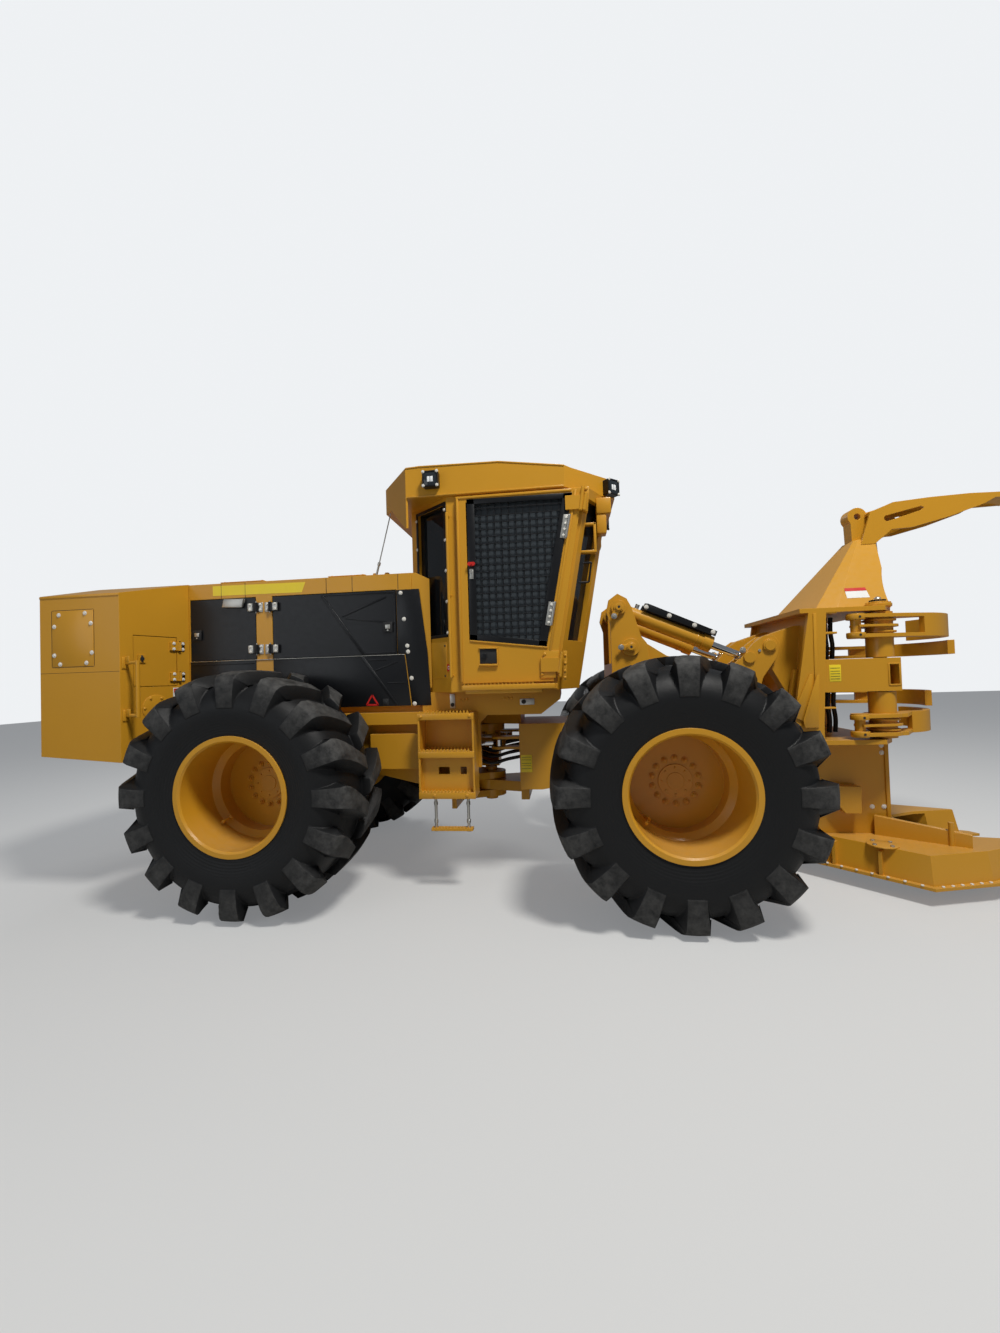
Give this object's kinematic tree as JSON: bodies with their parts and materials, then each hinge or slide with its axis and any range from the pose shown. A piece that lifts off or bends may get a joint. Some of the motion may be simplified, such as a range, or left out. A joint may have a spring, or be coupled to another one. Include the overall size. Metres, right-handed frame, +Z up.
{
  "type": "wheeled feller buncher",
  "caption": "Articulated four-wheel forestry machine with a mesh-guarded cab, a lifting arm and a tilting disc-saw felling head with gathering arms.",
  "frame": {"origin": "middle of the bounding box, on the ground", "axes": "+X forward towards the felling head, +Y to the machine's left, +Z up"},
  "size_m": [8.065, 3.009, 3.4508],
  "materials": {
    "yellow_paint": "gloss",
    "black_paint": "satin",
    "tyre": "matt",
    "wheel_paint": "gloss",
    "chrome_rod": "polished",
    "dark_glass": "gloss",
    "seat_cloth": "matt",
    "dark_plastic": "matt",
    "lamp_housing": "satin",
    "saw_steel": "brushed"
  },
  "bodies": {
    "rear": {"rear_frame": "yellow_paint", "rear_axle": "black_paint", "engine_block": "black_paint", "hood": "yellow_paint", "tail_box": "yellow_paint", "steps": "yellow_paint", "cab_shell": "yellow_paint", "cab_roof": "yellow_paint", "cab_glass": "dark_glass", "seat": "seat_cloth", "controls": "dark_plastic", "grab_bars": "yellow_paint", "work_lamps": "lamp_housing"},
    "hood_door_rear_right": {"hood_door_rear_right": "black_paint"},
    "hood_door_front_right": {"hood_door_front_right": "black_paint"},
    "hood_door_rear_left": {"hood_door_rear_left": "black_paint"},
    "hood_door_front_left": {"hood_door_front_left": "black_paint"},
    "tail_door_right": {"tail_door_right": "yellow_paint"},
    "tail_door_left": {"tail_door_left": "yellow_paint"},
    "cab_door": {"cab_door": "yellow_paint", "door_glass": "dark_glass"},
    "front": {"front_frame": "yellow_paint", "front_axle": "black_paint"},
    "wheel_rear_right": {"tyre_rear_right": "tyre", "wheel_rear_right": "wheel_paint"},
    "wheel_rear_left": {"tyre_rear_left": "tyre", "wheel_rear_left": "wheel_paint"},
    "wheel_front_right": {"tyre_front_right": "tyre", "wheel_front_right": "wheel_paint"},
    "wheel_front_left": {"tyre_front_left": "tyre", "wheel_front_left": "wheel_paint"},
    "steer_barrel_right": {"steer_barrel_right": "yellow_paint"},
    "steer_barrel_left": {"steer_barrel_left": "yellow_paint"},
    "steer_rod_right": {"steer_rod_right": "chrome_rod"},
    "steer_rod_left": {"steer_rod_left": "chrome_rod"},
    "lift_arm": {"lift_arm": "yellow_paint"},
    "lift_barrels": {"lift_barrels": "yellow_paint"},
    "lift_rods": {"lift_rods": "chrome_rod"},
    "tilt_barrels": {"tilt_barrels": "yellow_paint"},
    "tilt_rods": {"tilt_rods": "chrome_rod"},
    "head": {"head_frame": "yellow_paint", "saw_housing": "yellow_paint"},
    "saw_disc": {"saw_disc": "saw_steel"},
    "arm_right": {"arm_right": "yellow_paint"},
    "arm_left": {"arm_left": "yellow_paint"}
  },
  "joints": [
    {"name": "articulation", "type": "hinge", "parent": "rear", "child": "front", "pos_m": [-0.5375, 0, 1.025], "axis": [0, 0, 1], "range_deg": [-45, 45]},
    {"name": "roll_rear_right", "type": "hinge", "parent": "rear", "child": "wheel_rear_right", "pos_m": [-2.2175, -1.1125, 0.912], "axis": [0, 1, 0], "continuous": true},
    {"name": "roll_rear_left", "type": "hinge", "parent": "rear", "child": "wheel_rear_left", "pos_m": [-2.2175, 1.1125, 0.912], "axis": [0, 1, 0], "continuous": true},
    {"name": "roll_front_right", "type": "hinge", "parent": "front", "child": "wheel_front_right", "pos_m": [0.9625, -1.1125, 0.912], "axis": [0, 1, 0], "continuous": true},
    {"name": "roll_front_left", "type": "hinge", "parent": "front", "child": "wheel_front_left", "pos_m": [0.9625, 1.1125, 0.912], "axis": [0, 1, 0], "continuous": true},
    {"name": "cab_door_swing", "type": "hinge", "parent": "rear", "child": "cab_door", "pos_m": [0.14121, -0.85, 1.73], "axis": [0.1794, 0, 0.9838], "range_deg": [0, 100]},
    {"name": "hood_door_rear_right_swing", "type": "hinge", "parent": "rear", "child": "hood_door_rear_right", "pos_m": [-2.4855, -0.668, 2.2], "axis": [0, 0, 1], "range_deg": [0, 85]},
    {"name": "hood_door_rear_left_swing", "type": "hinge", "parent": "rear", "child": "hood_door_rear_left", "pos_m": [-2.4855, 0.668, 2.2], "axis": [0, 0, -1], "range_deg": [0, 85]},
    {"name": "hood_door_front_right_swing", "type": "hinge", "parent": "rear", "child": "hood_door_front_right", "pos_m": [-2.3595, -0.668, 2.2], "axis": [0, 0, -1], "range_deg": [0, 85]},
    {"name": "hood_door_front_left_swing", "type": "hinge", "parent": "rear", "child": "hood_door_front_left", "pos_m": [-2.3595, 0.668, 2.2], "axis": [0, 0, 1], "range_deg": [0, 85]},
    {"name": "tail_door_right_swing", "type": "hinge", "parent": "rear", "child": "tail_door_right", "pos_m": [-3.16226, -0.74278, 1.93], "axis": [0, 0, 1], "range_deg": [0, 95]},
    {"name": "tail_door_left_swing", "type": "hinge", "parent": "rear", "child": "tail_door_left", "pos_m": [-3.16226, 0.74278, 1.93], "axis": [0, 0, -1], "range_deg": [0, 95]},
    {"name": "lift", "type": "hinge", "parent": "front", "child": "lift_arm", "pos_m": [0.7425, 0, 1.93], "axis": [0, -1, 0], "range_deg": [0, 38]},
    {"name": "lift_barrels_swing", "type": "hinge", "parent": "front", "child": "lift_barrels", "pos_m": [0.6525, 0, 2.27], "axis": [0, -1, 0], "range_deg": [0, 33.15]},
    {"name": "lift_rods_slide", "type": "slide", "parent": "lift_barrels", "child": "lift_rods", "axis": [0.9152, 0, -0.403], "range_m": [-0.2108, 0]},
    {"name": "head_tilt", "type": "hinge", "parent": "lift_arm", "child": "head", "pos_m": [1.8525, 0, 1.905], "axis": [0, 1, 0], "range_deg": [-18, 20]},
    {"name": "tilt_barrels_swing", "type": "hinge", "parent": "lift_arm", "child": "tilt_barrels", "pos_m": [1.2225, 0, 1.5], "axis": [0, 1, 0], "range_deg": [-11.52, 12.8]},
    {"name": "tilt_rods_slide", "type": "slide", "parent": "tilt_barrels", "child": "tilt_rods", "axis": [0.8767, 0, -0.4811], "range_m": [-0.2356, 0.212]},
    {"name": "steer_barrel_right_swing", "type": "hinge", "parent": "rear", "child": "steer_barrel_right", "pos_m": [-1.3875, -0.4, 1.13], "axis": [0, 0, 1], "range_deg": [-3.33, 3.33]},
    {"name": "steer_rod_right_slide", "type": "slide", "parent": "steer_barrel_right", "child": "steer_rod_right", "axis": [0.9947, 0.1025, 0], "range_m": [-0.2365, 0.2365]},
    {"name": "steer_barrel_left_swing", "type": "hinge", "parent": "rear", "child": "steer_barrel_left", "pos_m": [-1.3875, 0.4, 1.13], "axis": [0, 0, 1], "range_deg": [-3.33, 3.33]},
    {"name": "steer_rod_left_slide", "type": "slide", "parent": "steer_barrel_left", "child": "steer_rod_left", "axis": [0.9947, -0.1025, 0], "range_m": [-0.2365, 0.2365]},
    {"name": "saw_spin", "type": "hinge", "parent": "head", "child": "saw_disc", "pos_m": [2.9025, 0, 0.206], "axis": [0, 0, 1], "continuous": true},
    {"name": "arm_right_swing", "type": "hinge", "parent": "head", "child": "arm_right", "pos_m": [2.6425, -0.5, 1.6], "axis": [0, 0, -1], "range_deg": [0, 75]},
    {"name": "arm_left_swing", "type": "hinge", "parent": "head", "child": "arm_left", "pos_m": [2.6425, 0.5, 1.6], "axis": [0, 0, 1], "range_deg": [0, 75]}
  ],
  "couplings": [
    {"joint": "lift_barrels_swing", "follows": "lift", "ratio": 0.85522},
    {"joint": "lift_rods_slide", "follows": "lift", "m_per_rad": -0.31166},
    {"joint": "tilt_barrels_swing", "follows": "head_tilt", "ratio": 0.62755},
    {"joint": "tilt_rods_slide", "follows": "head_tilt", "m_per_rad": -0.66158},
    {"joint": "steer_barrel_right_swing", "follows": "articulation", "ratio": 0.070403},
    {"joint": "steer_barrel_left_swing", "follows": "articulation", "ratio": 0.070403},
    {"joint": "steer_rod_right_slide", "follows": "articulation", "m_per_rad": 0.29517},
    {"joint": "steer_rod_left_slide", "follows": "articulation", "m_per_rad": -0.29517}
  ]
}
